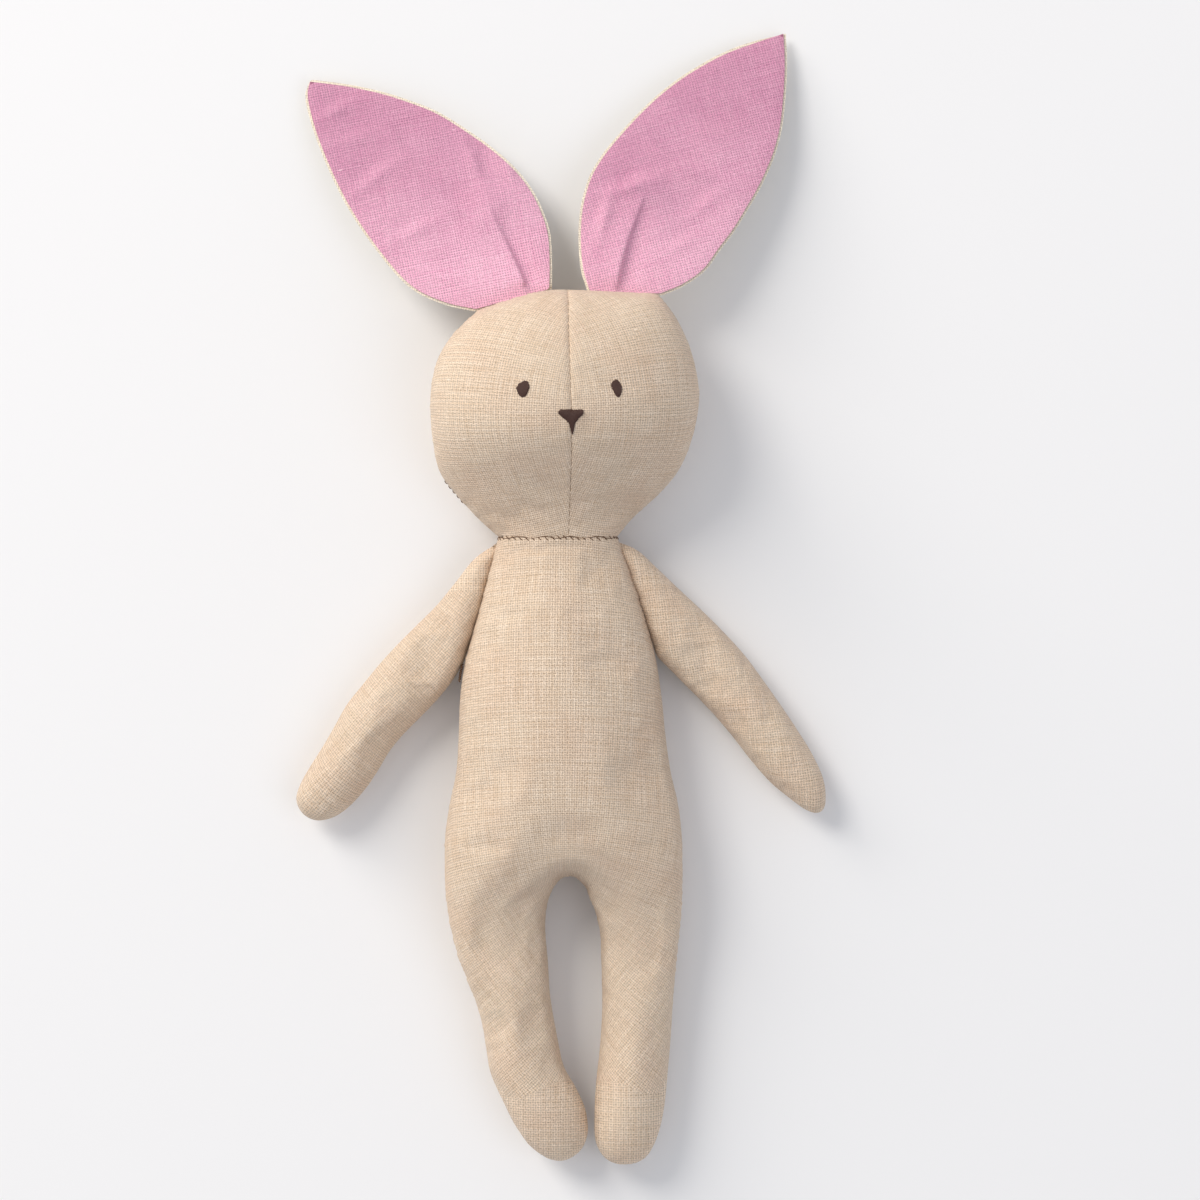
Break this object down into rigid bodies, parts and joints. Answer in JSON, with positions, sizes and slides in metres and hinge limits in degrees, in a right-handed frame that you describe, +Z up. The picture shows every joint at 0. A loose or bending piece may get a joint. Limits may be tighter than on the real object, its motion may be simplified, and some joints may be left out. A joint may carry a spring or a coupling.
{
  "type": "stuffed rabbit doll",
  "caption": "Sewn linen rabbit doll lying on its back: stuffed head, torso, arms and legs, long lined ears and an embroidered face.",
  "frame": {"origin": "in the flat of the torso's back that the doll lies on, midway between the neck seam and the crotch", "axes": "+Z up, the way the doll's front faces as it lies; +Y from the feet to the ears; +X to the doll's own left"},
  "size_m": [0.1958, 0.4113, 0.062],
  "materials": {
    "oatmeal_linen": "matte",
    "pink_linen": "matte",
    "natural_linen": "matte",
    "fibrefill": "matte",
    "brown_floss": "satin",
    "brown_thread": "satin"
  },
  "bodies": {
    "torso": {"body_front_panel": "oatmeal_linen", "body_back_panel": "oatmeal_linen", "torso_stuffing": "fibrefill", "neck_stitching": "brown_thread", "armpit_knot": "brown_thread"},
    "head": {"face_panel_left": "oatmeal_linen", "face_panel_right": "oatmeal_linen", "head_back_panel": "oatmeal_linen", "head_stuffing": "fibrefill", "head_closing_stitches": "brown_thread", "nose": "brown_floss", "eye_left": "brown_floss", "eye_right": "brown_floss"},
    "arm_left": {"arm_left_front_panel": "oatmeal_linen", "arm_left_back_panel": "oatmeal_linen", "arm_left_stuffing": "fibrefill"},
    "arm_right": {"arm_right_front_panel": "oatmeal_linen", "arm_right_back_panel": "oatmeal_linen", "arm_right_stuffing": "fibrefill"},
    "leg_left": {"leg_left_stuffing": "fibrefill"},
    "leg_right": {"leg_right_stuffing": "fibrefill"},
    "ear_left": {"ear_left_lining": "pink_linen", "ear_left_back": "natural_linen"},
    "ear_right": {"ear_right_lining": "pink_linen", "ear_right_back": "natural_linen"}
  },
  "joints": [
    {"name": "neck_nod", "type": "hinge", "parent": "torso", "child": "head", "pos_m": [-0.003, 0.06185, 0.017], "axis": [1, 0, 0], "range_deg": [-30, 45], "deforming": ["body_front_panel", "body_back_panel", "neck_stitching"]},
    {"name": "arm_left_swing", "type": "hinge", "parent": "torso", "child": "arm_left", "pos_m": [0.02668, 0.03907, 0.017], "axis": [0.2831, -0.9591, 0], "range_deg": [-40, 85], "deforming": ["body_front_panel", "body_back_panel"]},
    {"name": "arm_right_swing", "type": "hinge", "parent": "torso", "child": "arm_right", "pos_m": [-0.03198, 0.03887, 0.017], "axis": [0.2534, 0.9674, 0], "range_deg": [-40, 85], "deforming": ["body_front_panel", "body_back_panel"]},
    {"name": "hip_left_bend", "type": "hinge", "parent": "torso", "child": "leg_left", "pos_m": [0.0249, -0.0662, 0.01525], "axis": [-1, 0, 0], "range_deg": [-30, 90], "deforming": ["body_front_panel", "body_back_panel"]},
    {"name": "hip_right_bend", "type": "hinge", "parent": "torso", "child": "leg_right", "pos_m": [-0.0249, -0.0662, 0.01525], "axis": [-1, 0, 0], "range_deg": [-30, 90], "deforming": ["body_front_panel", "body_back_panel"]},
    {"name": "ear_left_fold", "type": "hinge", "parent": "head", "child": "ear_left", "pos_m": [0.021, 0.1512, 0.026], "axis": [1, 0, 0], "range_deg": [-60, 80]},
    {"name": "ear_right_fold", "type": "hinge", "parent": "head", "child": "ear_right", "pos_m": [-0.01922, 0.14935, 0.026], "axis": [0.9627, 0.2706, 0], "range_deg": [-60, 80]}
  ]
}
